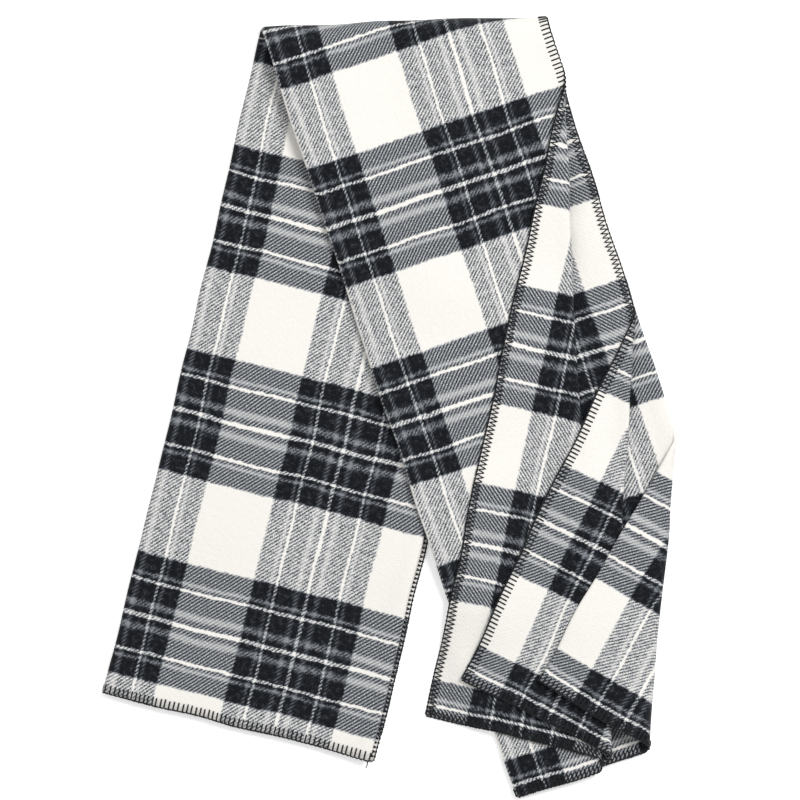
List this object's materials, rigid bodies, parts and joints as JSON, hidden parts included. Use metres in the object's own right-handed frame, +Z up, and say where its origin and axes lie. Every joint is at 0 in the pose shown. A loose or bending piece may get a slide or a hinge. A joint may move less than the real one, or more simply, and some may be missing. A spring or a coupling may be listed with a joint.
{
  "type": "folded camp blanket",
  "caption": "Woven wool throw with whip-stitched edges, folded lengthwise into a strip, folded over into two splayed legs and laid flat, with its front folds turned back as lapels.",
  "frame": {"origin": "middle of the outline, on the level surface the folded blanket rests on", "axes": "+Z up, out of the surface it lies on; +Y along the folded blanket towards the fold at its top; +X to the right across it"},
  "size_m": [0.7088, 0.9696, 0.0379],
  "materials": {
    "wool_cloth": "napped wool twill woven as a tartan of black, grey and cream",
    "stitch_yarn": "soft black wool yarn, matt and slightly fuzzy"
  },
  "bodies": {
    "root": {"woven_panel": "wool_cloth", "whip_stitch_first_hem": "stitch_yarn", "whip_stitch_second_hem": "stitch_yarn", "whip_stitch_near_end": "stitch_yarn", "whip_stitch_far_end": "stitch_yarn"}
  },
  "joints": []
}
